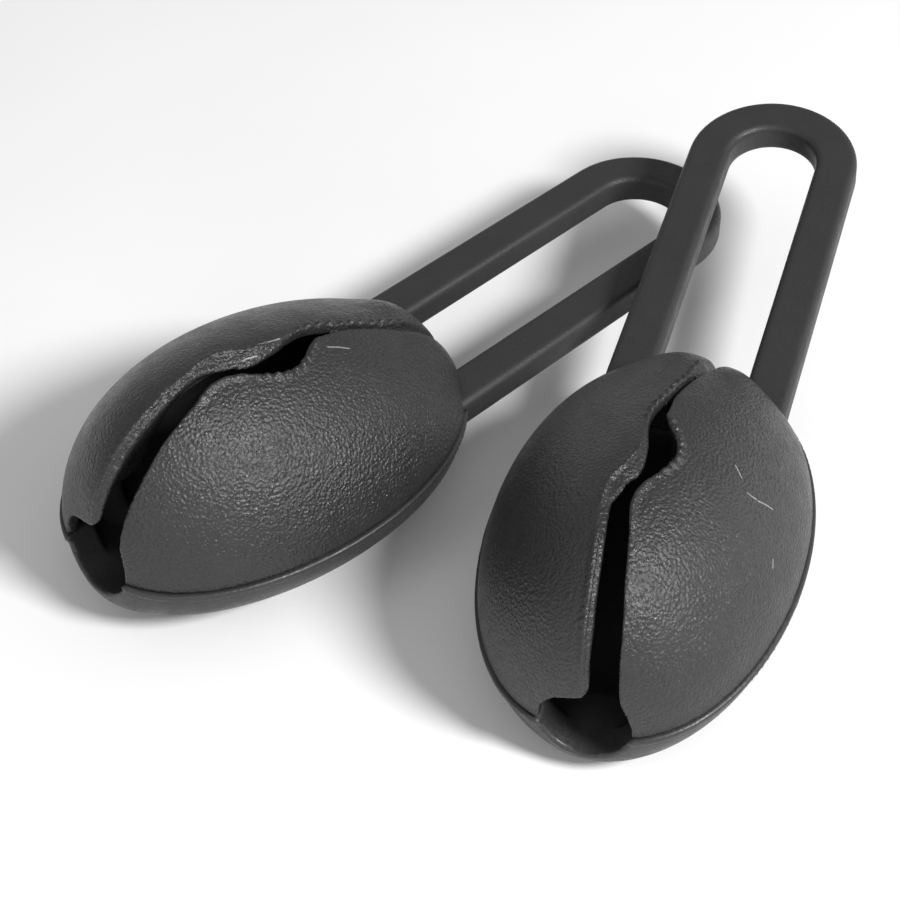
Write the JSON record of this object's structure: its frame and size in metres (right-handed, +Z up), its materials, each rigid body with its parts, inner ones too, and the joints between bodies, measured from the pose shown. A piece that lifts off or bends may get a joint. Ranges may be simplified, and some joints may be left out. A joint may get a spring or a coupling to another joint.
{
  "type": "castanets",
  "caption": "Pair of egg-shaped moulded castanets, each with a textured slotted upper shell hinged on a smooth lower shell and a flat finger loop.",
  "frame": {"origin": "on the table under the middle of the left castanet's shells, in its flat resting face", "axes": "+X along the left castanet from its front hole towards its finger loop, +Y towards the left castanet's left, away from the right castanet, +Z up"},
  "size_m": [0.1573, 0.1124, 0.0406],
  "materials": {
    "textured_shell": "charcoal moulded plastic with a fine pebbled texture",
    "smooth_shell": "charcoal moulded plastic, smooth satin",
    "loop": "charcoal moulded plastic, smooth matt",
    "pin": "plain drawn steel wire"
  },
  "bodies": {
    "left_base": {"left_lower_shell": "smooth_shell", "left_finger_loop": "loop", "left_hinge_pin": "pin"},
    "left_clapper": {"left_upper_shell": "textured_shell"},
    "right_base": {"right_lower_shell": "smooth_shell", "right_finger_loop": "loop", "right_hinge_pin": "pin"},
    "right_clapper": {"right_upper_shell": "textured_shell"}
  },
  "joints": [
    {"name": "left_clap", "type": "hinge", "parent": "left_base", "child": "left_clapper", "pos_m": [0.028, 0, 0.01217], "axis": [0, 1, 0], "range_deg": [0, 10]},
    {"name": "right_lift", "type": "slide", "parent": "left_base", "child": "right_base", "axis": [0, 0, 1], "range_m": [0, 0.1]},
    {"name": "right_clap", "type": "hinge", "parent": "right_base", "child": "right_clapper", "pos_m": [0.05285, -0.0449, 0.01664], "axis": [-0.4724, 0.8802, -0.0451], "range_deg": [0, 10]}
  ]
}
